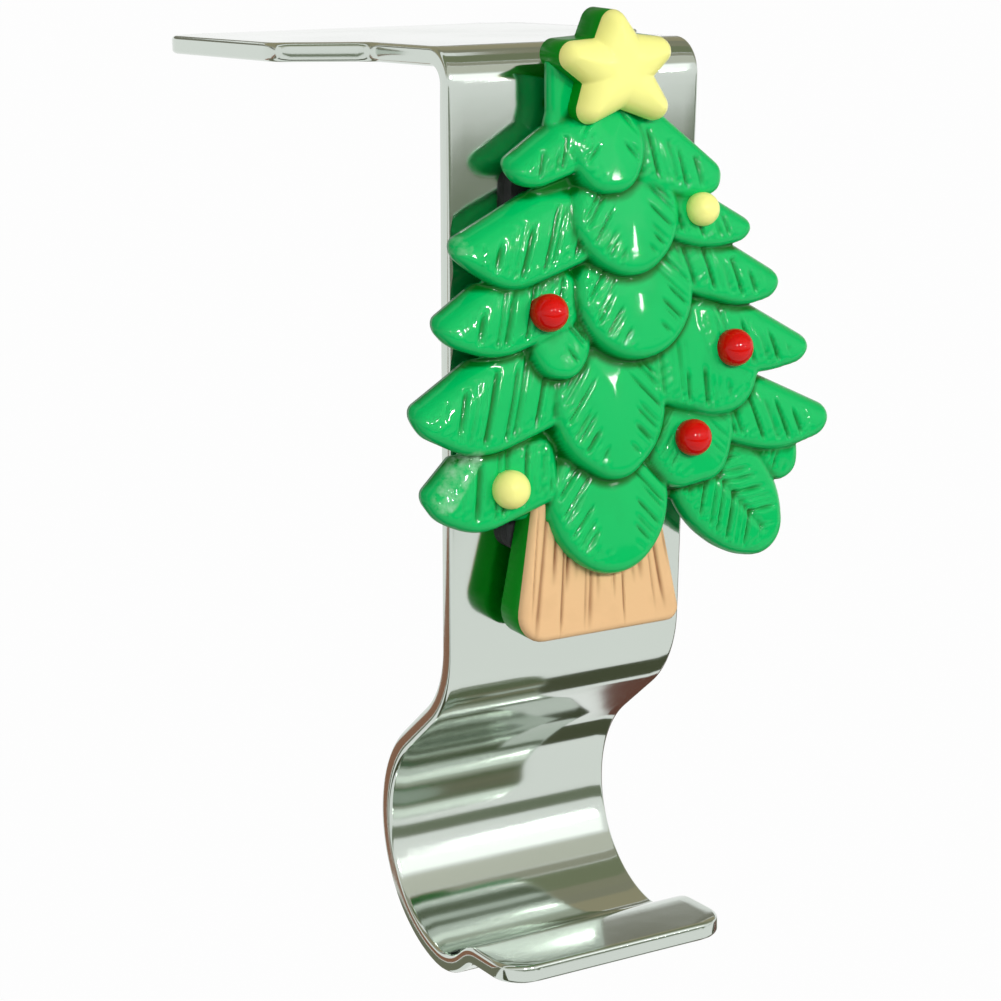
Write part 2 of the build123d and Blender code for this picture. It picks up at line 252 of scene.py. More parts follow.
@dataclass
class Relief:
    """A cast relief: a fine front over an outline, a wall at its rim and a back with a rounded edge."""

    name: str
    pitch: float
    back_y: float
    low: Point
    high: Point
    depth_at: Field
    height_at: Field
    back_round: float = 0.4
    least_edge: float = 0.5
    snap_share: float = 0.45
    least_slope: float = 0.5

    def front(self) -> tuple[np.ndarray, list[list[int]]]:
        """Cuts a fine grid to the outline.

        Returns:
            Places of the vertices in the front view, and the faces between them.
        """
        xs = np.arange(self.low[0], self.high[0] + self.pitch, self.pitch)
        zs = np.arange(self.low[1], self.high[1] + self.pitch, self.pitch)
        grid = np.stack(np.meshgrid(xs, zs, indexing="ij"), axis=-1)
        depth = self.depth_at(grid.reshape(-1, 2)).reshape(grid.shape[:2])
        # Vertices close to the outline move onto it, so that no thin slivers are cut.
        slope = np.stack(np.gradient(depth, self.pitch), axis=-1)
        near = np.abs(depth) < self.snap_share * self.pitch
        steep = np.maximum((slope**2).sum(axis=-1), self.least_slope**2)
        grid = grid - slope * np.where(near, depth / steep, 0.0)[..., None]
        depth = np.where(near, 0.0, depth).ravel()
        cells = grid_cells(np.arange(depth.size).reshape(grid.shape[:2]))
        held = depth[cells] >= 0.0
        whole = held.all(axis=1) & (depth[cells] > 0.0).any(axis=1)
        faces = cells[whole].tolist()
        places = grid.reshape(-1, 2).tolist()
        cuts: dict[tuple[int, int], int] = {}
        for cell in cells[held.any(axis=1) & ~held.all(axis=1)].tolist():
            face = self._cut_cell(cell, depth, places, cuts)
            if len(face) > 2:
                faces.append(face)
        used = np.unique(np.concatenate([np.asarray(face) for face in faces]))
        renumbered = np.full(len(places), -1)
        renumbered[used] = np.arange(len(used))
        return np.asarray(places)[used], [renumbered[face].tolist() for face in faces]

    @staticmethod
    def _cut_cell(
        cell: list[int], depth: np.ndarray, places: list[list[float]], cuts: dict[tuple[int, int], int]
    ) -> list[int]:
        """Keeps the part of a grid cell that lies inside the outline.

        Args:
            cell: Vertex indices of the cell in order.
            depth: Depth inside the outline at each grid vertex.
            places: Vertex places, to which new ones on the outline are added.
            cuts: New vertices by the grid edge that they lie on.

        Returns:
            Vertex indices of the kept part, or an empty list.
        """
        if not any(depth[i] > 0.0 for i in cell):
            return []
        face: list[int] = []
        for here, after in zip(cell, cell[1:] + cell[:1]):
            if depth[here] >= 0.0:
                face.append(here)
            if depth[here] * depth[after] < 0.0:
                key = (min(here, after), max(here, after))
                if key not in cuts:
                    share = depth[here] / (depth[here] - depth[after])
                    start, end = np.asarray(places[here]), np.asarray(places[after])
                    cuts[key] = len(places)
                    places.append((start + share * (end - start)).tolist())
                face.append(cuts[key])
        return face

    @staticmethod
    def _rim(faces: list[list[int]]) -> list[tuple[int, int]]:
        """Edges that only one face has, in that face's direction."""
        edges = {(a, b) for face in faces for a, b in zip(face, face[1:] + face[:1])}
        return sorted((a, b) for a, b in edges if (b, a) not in edges)

    def build(
        self, materials: Sequence[bpy.types.Material], wall_slot: int, values: dict[str, Field] | None = None
    ) -> bpy.types.Object:
        """Makes the closed relief.

        Args:
            materials: Materials of the piece; the front takes the first.
            wall_slot: Material slot of the wall and the back.
            values: Named fields over the front view for the materials to read.

        Returns:
            The new object.
        """
        flat, faces = self.front()
        depth = np.maximum(self.depth_at(flat), 0.0)
        height = self.height_at(flat)
        under = np.minimum(rolled_drop(depth, self.back_round), np.maximum(height - self.least_edge, 0.0))
        rim = self._rim(faces)
        band = [face for face in faces if min(depth[i] for i in face) < self.back_round]
        used = sorted({i for face in band for i in face})
        order = {i: len(flat) + place for place, i in enumerate(used)}
        slots = [0] * len(faces) + [wall_slot] * (len(band) + len(rim))
        faces = faces + [[order[i] for i in reversed(face)] for face in band]
        faces += [[b, a, order[a], order[b]] for a, b in rim]
        front = np.column_stack([flat[:, 0], self.back_y - height, flat[:, 1]])
        back = np.column_stack([flat[used, 0], self.back_y - under[used], flat[used, 1]])
        everywhere = np.vstack([front, back])
        facing = np.arange(len(everywhere)) < len(front)
        made = {label: at(everywhere[:, [0, 2]]) * facing for label, at in (values or {}).items()}
        piece = add_piece(self.name, everywhere, faces, materials, slots, made)
        self._close_back(piece, wall_slot)
        return piece

    @staticmethod
    def _close_back(piece: bpy.types.Object, slot: int) -> None:
        """Fills the open middle of a relief's back with a flat face.

        Args:
            piece: The relief, open at its back.
            slot: Material slot of the new face.
        """
        work = bmesh.new()
        work.from_mesh(piece.data)
        open_edges = [edge for edge in work.edges if edge.is_boundary]
        made = bmesh.ops.triangle_fill(work, edges=open_edges, use_beauty=True, normal=(0.0, 1.0, 0.0))
        for item in made["geom"]:
            if isinstance(item, bmesh.types.BMFace):
                item.material_index = slot
                item.smooth = False
        bmesh.ops.recalc_face_normals(work, faces=work.faces)
        work.to_mesh(piece.data)
        work.free()
        piece.data.update()


class Barbs(Enum):
    """Where a leaf carries needle grooves."""

    MARGINS = "both margins"
    LOWER = "lower side"
    ALL = "whole face"


# Waves of the cast surface, in radians per millimetre across and up.
BEAD_WAVES = ((5.9, 1.3), (-2.6, 6.3), (4.4, -5.2))
# Phase between patterns that should differ.
PHASE_STEP = 1.7
# Radians per groove at which the grooves' run, depth and start vary.
WANDER_RATE, DEPTH_RATE, START_RATE = 1.9, 2.4, 4.1
# Mean and spread of the grooves' depth, as shares of the full depth.
DEPTH_MEAN, DEPTH_SPREAD = 0.55, 0.6
# A direction across a spine that rises by more than this points up.
LEVEL = 0.15
# Where a midrib and the grooves start and end, in shares of the spine.
RIB_RISE, RIB_FALL = (0.2, 0.4), (0.75, 0.9)
GROOVE_RISE, GROOVE_FALL = (0.04, 0.16), (0.74, 0.9)
# Where the grooves start by distance from the rim, and from the spine by the kind of leaf.
RIM_RISE = (0.75, 1.5)
MARGIN_RISE, MARGIN_FALL = (1.6, 2.8), (3.4, 5.0)
LOWER_RISE = (-0.6, 0.9)
FACE_RISE = (-4.0, -2.4)
# Where the beads lie, by distance from the rim and below the spine.
BEAD_RISE, BEAD_FALL = (0.7, 1.3), (1.9, 2.9)
BEAD_SIDE = (0.3, 1.5)


@dataclass(frozen=True)
class Leaf:
    """One leaf of the casting, drawn by its corners in the front view."""

    corners: tuple[Corner, ...]
    root: Point
    tip: Point
    rim: float
    rise: float = 0.2
    tip_fall: float = 0.6
    roll: float = 1.3
    crest: float = 0.9
    crest_reach: float = 3.0
    dome: float = 0.3
    dome_reach: float = 8.0
    barbs: Barbs = Barbs.LOWER
    barb_lean: float = 0.85
    barb_pitch: float = 1.35
    barb_depth: float = 0.44
    barb_wander: float = 0.16
    barb_scatter: float = 0.6
    barb_sharpness: float = 1.6
    bead_height: float = 0.065
    midrib: float = 0.0
    midrib_width: float = 0.45

    def outline(self) -> np.ndarray:
        """Points of the leaf's outline."""
        return rounded_polygon(self.corners)

    def field(self, points: np.ndarray) -> tuple[np.ndarray, np.ndarray]:
        """Shape of the leaf over the front view.

        Args:
            points: Places in the front view, one x and z per row.

        Returns:
            Depth inside the leaf's outline and height of its front, at each point.
        """
        outline = self.outline()
        depth = inside_depth(points, outline)
        spine = np.subtract(self.tip, self.root)
        length = float(np.hypot(*spine))
        along = spine / length
        side = np.array([along[1], -along[0]])
        if side[1] > LEVEL:
            side = -side
        run = (points - np.asarray(self.root)) @ along
        reach = (points - np.asarray(self.root)) @ side
        share = np.clip(run / length, 0.0, 1.0)
        height = self.rim - self.rise * np.maximum(points[:, 1] - outline[:, 1].min(), 0.0)
        height = height - self.tip_fall * share**2
        height = height + self.dome * np.sin(np.clip(depth / self.dome_reach, 0.0, 1.0) * math.pi / 2.0)
        if self.crest:
            start, end = (np.array(corner[:2]) for corner in self.corners[:2])
            edge = (end - start) / np.hypot(*(end - start))
            gap = np.abs((points - start) @ np.array([edge[1], -edge[0]]))
            height = height - self.crest * np.clip(1.0 - gap / self.crest_reach, 0.0, 1.0) ** 2
        rib = np.exp(-((reach / self.midrib_width) ** 2)) * span(share, RIB_RISE, RIB_FALL)
        height = height - self.midrib * rib
        height = height - rolled_drop(depth, self.roll) - OUTSIDE_FALL * np.maximum(-depth, 0.0)
        low_rim = span(depth, BEAD_RISE, BEAD_FALL) * smoothstep(*BEAD_SIDE, reach)
        return depth, height + self._beads(points) * low_rim - self._grooves(depth, run, share, reach)

    def _beads(self, points: np.ndarray) -> np.ndarray:
        """Small beads of the cast surface.

        Args:
            points: Places in the front view.

        Returns:
            Height of the beads at each point.
        """
        waves = enumerate(BEAD_WAVES)
        beads = sum(np.sin(points @ np.array(wave) + PHASE_STEP * order) for order, wave in waves)
        return self.bead_height * np.clip(beads / 2.0, -0.2, 1.0)

    def _grooves(
        self, depth: np.ndarray, run: np.ndarray, share: np.ndarray, reach: np.ndarray
    ) -> np.ndarray:
        """Needle grooves that leave the spine toward the leaf's rim.

        Args:
            depth: Depth inside the outline.
            run: Distance along the spine.
            share: Share of the spine's length.
            reach: Signed distance from the spine, positive on the lower side.

        Returns:
            Groove depth at each point.
        """
        phase = (run - self.barb_lean * np.abs(reach)) / self.barb_pitch
        seed = self.root[0] + PHASE_STEP * self.root[1]
        phase = phase + self.barb_wander * np.sin(WANDER_RATE * phase + seed)
        number = np.round(phase)
        uneven = np.clip(DEPTH_MEAN + DEPTH_SPREAD * np.sin(number * DEPTH_RATE + seed), 0.0, 1.0)
        start = self.barb_scatter * np.sin(number * START_RATE + seed)
        groove = (0.5 + 0.5 * np.cos(2.0 * math.pi * phase)) ** self.barb_sharpness
        if self.barbs is Barbs.MARGINS:
            where = smoothstep(*MARGIN_RISE, np.abs(reach) + start)
            where = where * (1.0 - smoothstep(*MARGIN_FALL, depth + start))
        elif self.barbs is Barbs.LOWER:
            where = smoothstep(*LOWER_RISE, reach + start)
        else:
            where = smoothstep(*FACE_RISE, reach + start)
        where = where * span(share, GROOVE_RISE, GROOVE_FALL) * smoothstep(*RIM_RISE, depth)
        return self.barb_depth * uneven * groove * where


ROOT_ROUND = 2.0
WING_TIP_ROUND = 1.35
WING_ROOT_SLOPE = 0.3
WING_END_SHARE = 0.65
BIB_ROOT_HEIGHT = 2.9


def wing(
    shoulder: Point, tip: Point, heel: Point, belly: Point, root_x: float, rim: float, **more: object
) -> Leaf:
    """A leaf that reaches out to one side, its lower rim standing over the next tier.

    Args:
        shoulder: Where its upper edge leaves the tree.
        tip: Upper corner of its outer end.
        heel: Lower corner of its outer end.
        belly: Lowest corner.
        root_x: Where it sinks into the tree.
        rim: Height of its lower rim.
        more: Other settings of the leaf.

    Returns:
        The leaf.
    """
    out = math.copysign(1.0, tip[0] - root_x)
    lower_root = (root_x, belly[1] + WING_ROOT_SLOPE * abs(belly[0] - root_x))
    upper_slope = (tip[1] - shoulder[1]) / abs(tip[0] - shoulder[0])
    end = np.add(np.multiply(tip, WING_END_SHARE), np.multiply(heel, 1.0 - WING_END_SHARE))
    spine_slope = 0.5 * (upper_slope - WING_ROOT_SLOPE) * out
    root = (root_x, float(end[1]) - spine_slope * (float(end[0]) - root_x))
    corners = ((*shoulder, ROOT_ROUND), (*tip, WING_TIP_ROUND), (*heel, SOFT), (*belly, SOFT))
    corners += ((*lower_root, ROOT_ROUND), (root_x, shoulder[1], ROOT_ROUND))
    return Leaf(corners, root, (float(end[0]), float(end[1])), rim, **more)


def bib(root: Point, tip: Point, half_width: float, blunt: float, rim: float, **more: object) -> Leaf:
    """A leaf that hangs down, the same on both sides of a line from its root to its tip.

    Args:
        root: Middle of its hidden upper edge.
        tip: Middle of its lower end.
        half_width: Half its width at the belly.
        blunt: Flat share of the lower end.
        rim: Height of its lower rim.
        more: Other settings of the leaf.

    Returns:
        The leaf.
    """
    along = np.subtract(tip, root)
    across = np.array([-along[1], along[0]]) / np.hypot(*along) * half_width
    # Share of the length, share of the half width and round of each corner of one side.
    side = ((0.0, 0.6, ROOT_ROUND), (0.45, 1.05, SOFT), (0.8, 0.82, SOFT), (1.0, blunt, SOFT))
    corners = [(*(root + run * along + reach * across), radius) for run, reach, radius in side]
    corners += [(*(root + run * along - reach * across), radius) for run, reach, radius in reversed(side)]
    settings: dict[str, object] = {"rise": (rim - BIB_ROOT_HEIGHT) / (root[1] - tip[1])}
    settings.update({"tip_fall": 0.0, "crest": 0.0, "roll": 1.5, "dome": 0.5})
    settings.update({"barbs": Barbs.MARGINS, "barb_lean": 1.1, "barb_pitch": 1.0})
    settings.update(more)
    return Leaf(tuple(corners), root, tip, rim, **settings)


def left_leaves() -> list[Leaf]:
    """The leaves on the left, from the top tier down, and the small one under the red bauble.

    Returns:
        The leaves, each over the one before.
    """
    top: dict[str, object] = {"crest_reach": 2.2, "barb_pitch": 1.0}
    return [
        wing((-4.0, -4.6), (-11.0, -9.1), (-10.0, -11.1), (-7.6, -11.7), -0.5, 4.6, **top),
        wing((-7.0, -12.0), (-17.8, -17.0), (-14.6, -19.8), (-10.4, -21.9), 0.0, 5.0),
        wing((-11.6, -19.7), (-19.2, -24.5), (-17.6, -26.7), (-12.2, -28.6), -2.5, 5.0),
        wing((-11.7, -27.4), (-21.4, -33.1), (-20.6, -35.5), (-14.3, -38.7), -3.0, 5.0),
        wing((-14.3, -36.7), (-20.1, -42.0), (-18.8, -44.5), (-14.2, -46.5), -4.5, 5.0),
        bib((-3.9, -22.4), (-5.3, -30.9), 3.8, 0.4, 5.5, roll=1.3, barbs=Barbs.LOWER, barb_lean=0.9),
    ]


def right_leaves() -> list[Leaf]:
    """The leaves on the right, from the top tier down, and the lobes in front of them.

    Returns:
        The leaves, each over the one before.
    """
    lobe: dict[str, object] = {"crest": 0.0, "roll": 1.5, "barbs": Barbs.MARGINS}
    return [
        wing((6.0, -3.4), (15.4, -10.9), (14.6, -13.4), (11.0, -13.9), 2.0, 4.7, crest=0.5, roll=1.1),
        wing((11.0, -12.1), (19.6, -17.0), (18.0, -18.7), (12.8, -19.2), 6.0, 4.9, crest=0.5, roll=1.2),
        wing((14.5, -17.5), (23.6, -22.9), (22.0, -25.0), (17.6, -25.7), 7.5, 4.9, crest=0.5),
        wing((16.0, -23.5), (28.0, -30.4), (26.3, -32.4), (19.8, -33.3), 11.5, 4.7, crest=0.5),
        wing((18.5, -32.2), (31.1, -38.2), (29.7, -40.7), (23.0, -42.1), 12.5, 4.7, crest=0.4),
        wing((14.3, -23.8), (20.9, -32.0), (18.9, -36.3), (14.6, -37.2), 6.0, 5.6, **lobe),
        bib((21.4, -37.0), (25.2, -45.2), 3.1, 0.4, 3.4, roll=1.2, barbs=Barbs.LOWER),
        bib((10.8, -38.3), (22.9, -52.2), 5.9, 0.3, 4.8, barbs=Barbs.ALL, barb_lean=0.75, midrib=0.35),
        bib((10.6, -31.0), (12.0, -44.0), 6.2, 0.5, 5.5, barb_depth=0.2, barb_pitch=0.8),
    ]


def centre_leaves() -> list[Leaf]:
    """The middle row, from the top tier down.

    Returns:
        The leaves, each over the one before.
    """
    return [
        bib((0.5, -3.0), (0.6, -12.5), 4.6, 0.4, 5.7),
        bib((2.3, -8.5), (3.4, -20.9), 6.6, 0.25, 6.3),
        bib((3.5, -16.0), (4.7, -29.6), 7.4, 0.3, 6.4),
        bib((0.9, -26.0), (1.6, -42.0), 7.1, 0.2, 6.5),
        bib((1.3, -36.5), (1.5, -52.1), 7.6, 0.3, 6.5),
    ]


class BaubleColour(Enum):
    """Colour of a bauble, named as its finish is."""

    RED = "RED"
    YELLOW = "YELLOW"


@dataclass(frozen=True)
class Bauble:
    """One painted dome on a leaf."""

    name: str
    place: Point
    radius: float
    colour: BaubleColour


@dataclass(frozen=True)
class RubMark:
    """A pale mark that handling left on a leaf, along a line."""

    start: Point
    end: Point
    half_width: float
    strength: float
    edge_share: float = 0.75


# Ranges that each bark groove draws its values from, in shares of the trunk's half width and height.
BARK_SHIFT = (-0.05, 0.05)
BARK_START = (0.1, 0.5)
BARK_END = (0.66, 1.04)
BARK_WIDTH = (0.01, 0.03)
BARK_STRENGTH = (0.45, 1.0)
BARK_LEAN = (-0.12, 0.12)


@dataclass
class TreeCasting:
    """The cast tree: leaves, star, trunk and baubles on one flat back."""

    back_y: float = -3.4
    margin: float = 0.6
    leaf_pitch: float = 0.2
    leaf_margin: float = 2.0
    least_height: float = 0.9
    body_height: float = 2.4
    body_roll: float = 1.0
    fillet: float = 0.4
    under_round: float = 2.6
    leaves: list[Leaf] = field(default_factory=lambda: left_leaves() + right_leaves() + centre_leaves())
    body: tuple[Point, ...] = (
        (-5.5, 0.6),
        (-5.4, -4.4),
        (-14.5, -40.0),
        (-10.0, -46.0),
        (16.0, -46.0),
        (20.5, -41.5),
        (4.8, -4.0),
        (3.0, 0.6),
    )
    # Reach, depth, fall and looks of the hollow field, which paints shade into the foliage's creases.
    shade_reach: float = 1.1
    shade_depth: float = 0.38
    shade_fall: float = 1.0
    shade_looks: int = 8
    rubs: tuple[RubMark, ...] = (
        RubMark((-14.7, -38.5), (-18.0, -42.4), 1.3, 0.7),
        RubMark((-16.9, -16.9), (-15.6, -16.8), 0.9, 0.35),
    )
    star_pitch: float = 0.16
    star_centre: Point = (1.2, -0.2)
    star_tips: tuple[Point, ...] = ((0.6, 4.2), (-4.1, 1.3), (-2.0, -4.0), (5.7, -4.0), (5.9, 1.4))
    star_notch: float = 2.4
    star_round: float = 1.5
    star_height: float = 6.2
    star_roll: float = 2.7
    trunk_pitch: float = 0.13
    trunk_x: float = 0.3
    trunk_top_z: float = -40.0
    trunk_foot_z: float = -58.7
    trunk_top_width: float = 13.6
    trunk_foot_width: float = 20.6
    trunk_top_height: float = 3.0
    trunk_foot_height: float = 4.8
    trunk_round: float = 1.5
    trunk_roll: float = 0.9
    bark_lines: int = 17
    # Places of the outermost grooves, in shares of the trunk's half width.
    bark_ends: Point = (-0.86, 0.92)
    bark_depth: float = 0.3
    bark_seed: int = 11
    bauble_lift: float = 0.6
    bauble_columns: int = 48
    bauble_rings: int = 18
    # Share of the radius and fall below the middle, for each ring of a bauble's foot.
    bauble_foot: tuple[Point, ...] = ((0.95, 0.6), (0.88, 0.9), (0.88, 1.6))
    baubles: tuple[Bauble, ...] = (
        Bauble("bauble_left_red", (-6.8, -23.9), 1.95, BaubleColour.RED),
        Bauble("bauble_right_red", (16.3, -29.7), 2.0, BaubleColour.RED),
        Bauble("bauble_low_red", (10.8, -38.6), 1.95, BaubleColour.RED),
        Bauble("bauble_right_yellow", (11.7, -14.8), 1.75, BaubleColour.YELLOW),
        Bauble("bauble_left_yellow", (-10.9, -41.7), 2.0, BaubleColour.YELLOW),
    )

    def leaf_fields(self, points: np.ndarray) -> tuple[np.ndarray, np.ndarray]:
        """Shape of the foliage over the front view, leaf over leaf.

        Args:
            points: Places in the front view, one x and z per row.

        Returns:
            Depth inside the foliage's outline and height of its front, at each point.
        """
        depth = inside_depth(points, np.asarray(self.body))
        height = self.body_height - OUTSIDE_FALL * np.maximum(-depth, 0.0)
        height = height - rolled_drop(depth, self.body_roll)
        for leaf in self.leaves:
            outline = leaf.outline()
            low, high = outline.min(axis=0) - self.leaf_margin, outline.max(axis=0) + self.leaf_margin
            near = ((points > low) & (points < high)).all(axis=1)
            leaf_depth, leaf_height = leaf.field(points[near])
            depth[near] = np.maximum(depth[near], leaf_depth)
            height[near] = soft_max(height[near], leaf_height, self.fillet)
        return depth, height

    def build_leaves(self, paint: bpy.types.Material) -> bpy.types.Object:
        """Makes the foliage as one relief.

        Args:
            paint: Paint of the foliage.

        Returns:
            The new object.
        """
        outlines = np.vstack([np.asarray(self.body)] + [leaf.outline() for leaf in self.leaves])
        relief = Relief(
            "tree_leaves",
            self.leaf_pitch,
            self.back_y,
            tuple(outlines.min(axis=0) - self.margin),
            tuple(outlines.max(axis=0) + self.margin),
            lambda points: self.leaf_fields(points)[0],
            lambda points: np.maximum(self.leaf_fields(points)[1], self.least_height),
            self.under_round,
        )
        # The hollow field darkens the creases with painted shade.
        return relief.build([paint], 0, {"hollow": self.hollow, "rub": self.rub})

    def rub(self, points: np.ndarray) -> np.ndarray:
        """Pale marks that handling left on two of the left tips.

        Args:
            points: Places in the front view.

        Returns:
            Share of the full mark at each point.
        """
        marks = np.zeros(len(points))
        for mark in self.rubs:
            edge = np.subtract(mark.end, mark.start)
            share = np.clip((points - mark.start) @ edge / (edge @ edge), 0.0, 1.0)
            gap = np.hypot(*(points - mark.start - share[:, None] * edge).T)
            inside = 1.0 - smoothstep(mark.edge_share * mark.half_width, mark.half_width, gap)
            marks = np.maximum(marks, mark.strength * inside)
        return marks

    def hollow(self, points: np.ndarray) -> np.ndarray:
        """How far the foliage lies below its surroundings: the green darkens there as painted shade, with
        some pooled paint.

        Args:
            points: Places in the front view.

        Returns:
            Share of a full hollow at each point.
        """
        here = self.leaf_fields(points)[1]
        around = np.zeros(len(points))
        for turn in np.arange(self.shade_looks) * 2.0 * math.pi / self.shade_looks:
            step = self.shade_reach * np.array([math.cos(turn), math.sin(turn)])
            beside = self.leaf_fields(points + step)[1]
            around += np.maximum(beside, here - self.shade_fall) / self.shade_looks
        return np.clip((around - here) / self.shade_depth, 0.0, 1.0)

    def star_depth(self, points: np.ndarray) -> np.ndarray:
        """Shape of the star with its points rounded.

        Args:
            points: Places in the front view.

        Returns:
            Depth inside the star's outline at each point.
        """
        tips = np.asarray(self.star_tips)
        between = (tips + np.roll(tips, -1, axis=0)) / 2.0 - self.star_centre
        notches = self.star_centre + self.star_notch * between / np.hypot(*between.T)[:, None]
        corners = np.stack([tips, notches], axis=1).reshape(-1, 2)
        return inside_depth(points, corners) + self.star_round

    def build_star(self, paint: bpy.types.Material, shaded_side_paint: bpy.types.Material) -> bpy.types.Object:
        """Makes the puffed star, painted on its face only.

        Args:
            paint: Paint of the face.
            shaded_side_paint: Darker copy of the green on the sides and the back, a painted shade.

        Returns:
            The new object.
        """
        tips = np.asarray(self.star_tips)
        reach = self.star_round + self.margin
        relief = Relief(
            "tree_star",
            self.star_pitch,
            self.back_y,
            tuple(tips.min(axis=0) - reach),
            tuple(tips.max(axis=0) + reach),
            self.star_depth,
            lambda points: self.star_height - rolled_drop(self.star_depth(points), self.star_roll),
        )
        return relief.build([paint, shaded_side_paint], 1)

    def trunk_depth(self, points: np.ndarray) -> np.ndarray:
        """Shape of the trunk with rounded corners, the lower left one rounder.

        Args:
            points: Places in the front view.

        Returns:
            Depth inside the trunk's outline at each point.
        """
        top, foot = self.trunk_top_width / 2.0, self.trunk_foot_width / 2.0
        corners = (
            (self.trunk_x - top, self.trunk_top_z, self.trunk_round),
            (self.trunk_x - foot, self.trunk_foot_z, 2.0 * self.trunk_round),
            (self.trunk_x + foot, self.trunk_foot_z, self.trunk_round),
            (self.trunk_x + top, self.trunk_top_z, self.trunk_round),
        )
        return inside_depth(points, rounded_polygon(corners))

    def bark(self, points: np.ndarray) -> np.ndarray:
        """Grooves that run down the trunk, each with its own place, length, width, depth and lean.

        Args:
            points: Places in the front view.

        Returns:
            Share of the full groove depth at each point.
        """
        draw = np.random.default_rng(self.bark_seed)
        drop = (self.trunk_top_z - points[:, 1]) / (self.trunk_top_z - self.trunk_foot_z)
        half = (self.trunk_top_width + (self.trunk_foot_width - self.trunk_top_width) * drop) / 2.0
        across = (points[:, 0] - self.trunk_x) / half
        cut = np.zeros(len(points))
        for place in np.linspace(*self.bark_ends, self.bark_lines):
            place = place + draw.uniform(*BARK_SHIFT)
            start, end = draw.uniform(*BARK_START), draw.uniform(*BARK_END)
            width = draw.uniform(*BARK_WIDTH)
            strength = draw.uniform(*BARK_STRENGTH)
            lean = draw.uniform(*BARK_LEAN)
            line = np.exp(-(((across - place - lean * (drop - 0.5)) / width) ** 2))
            ends = span(drop, (start - 0.15, start + 0.1), (end - 0.2, end))
            cut = np.maximum(cut, strength * line * ends)
        return cut

    def trunk_height(self, points: np.ndarray) -> np.ndarray:
        """Front of the trunk, which leans back under the leaves.

        Args:
            points: Places in the front view.

        Returns:
            Height of the front at each point.
        """
        tall = self.trunk_top_z - self.trunk_foot_z
        share = np.clip((points[:, 1] - self.trunk_foot_z) / tall, 0.0, 1.0)
        front = self.trunk_foot_height + (self.trunk_top_height - self.trunk_foot_height) * share
        front = front - rolled_drop(self.trunk_depth(points), self.trunk_roll)
        return front - self.bark_depth * self.bark(points)

    def build_trunk(self, paint: bpy.types.Material, shaded_side_paint: bpy.types.Material) -> bpy.types.Object:
        """Makes the trunk with its bark grooves, painted on its face only.

        Args:
            paint: Paint of the face.
            shaded_side_paint: Darker copy of the green on the sides and the back, a painted shade.

        Returns:
            The new object.
        """
        half = self.trunk_foot_width / 2.0 + self.margin
        relief = Relief(
            "tree_trunk",
            self.trunk_pitch,
            self.back_y,
            (self.trunk_x - half, self.trunk_foot_z - self.margin),
            (self.trunk_x + half, self.trunk_top_z + self.trunk_round + self.margin),
            self.trunk_depth,
            self.trunk_height,
        )
        return relief.build([paint, shaded_side_paint], 1, {"bark": self.bark})

    def build_bauble(self, bauble: Bauble, paint: bpy.types.Material) -> bpy.types.Object:
        """Makes one dome that sits in the foliage on an undercut foot.

        Args:
            bauble: Place and size of the dome.
            paint: Paint of the dome.

        Returns:
            The new object.
        """
        middle = float(self.leaf_fields(np.array([bauble.place]))[1][0]) + self.bauble_lift
        columns = self.bauble_columns
        tilts = np.radians(np.linspace(90.0, 0.0, self.bauble_rings + 1))
        rings = [(math.cos(tilt), middle + bauble.radius * math.sin(tilt)) for tilt in tilts[1:]]
        rings += [(share, middle - fall) for share, fall in self.bauble_foot]
        points = [(bauble.place[0], self.back_y - middle - bauble.radius, bauble.place[1])]
        turns = 2.0 * math.pi * np.arange(columns) / columns
        for share, height in rings:
            for turn in turns:
                x = bauble.place[0] + share * bauble.radius * math.cos(turn)
                z = bauble.place[1] + share * bauble.radius * math.sin(turn)
                points.append((x, self.back_y - height, z))
        faces = [[0, 1 + i, 1 + (i + 1) % columns] for i in range(columns)]
        for level in range(len(rings) - 1):
            base = 1 + level * columns
            for i in range(columns):
                j = (i + 1) % columns
                faces.append([base + i, base + columns + i, base + columns + j, base + j])
        last = 1 + (len(rings) - 1) * columns
        faces.append([last + i for i in range(columns)])
        return add_piece(bauble.name, np.array(points), faces, [paint])


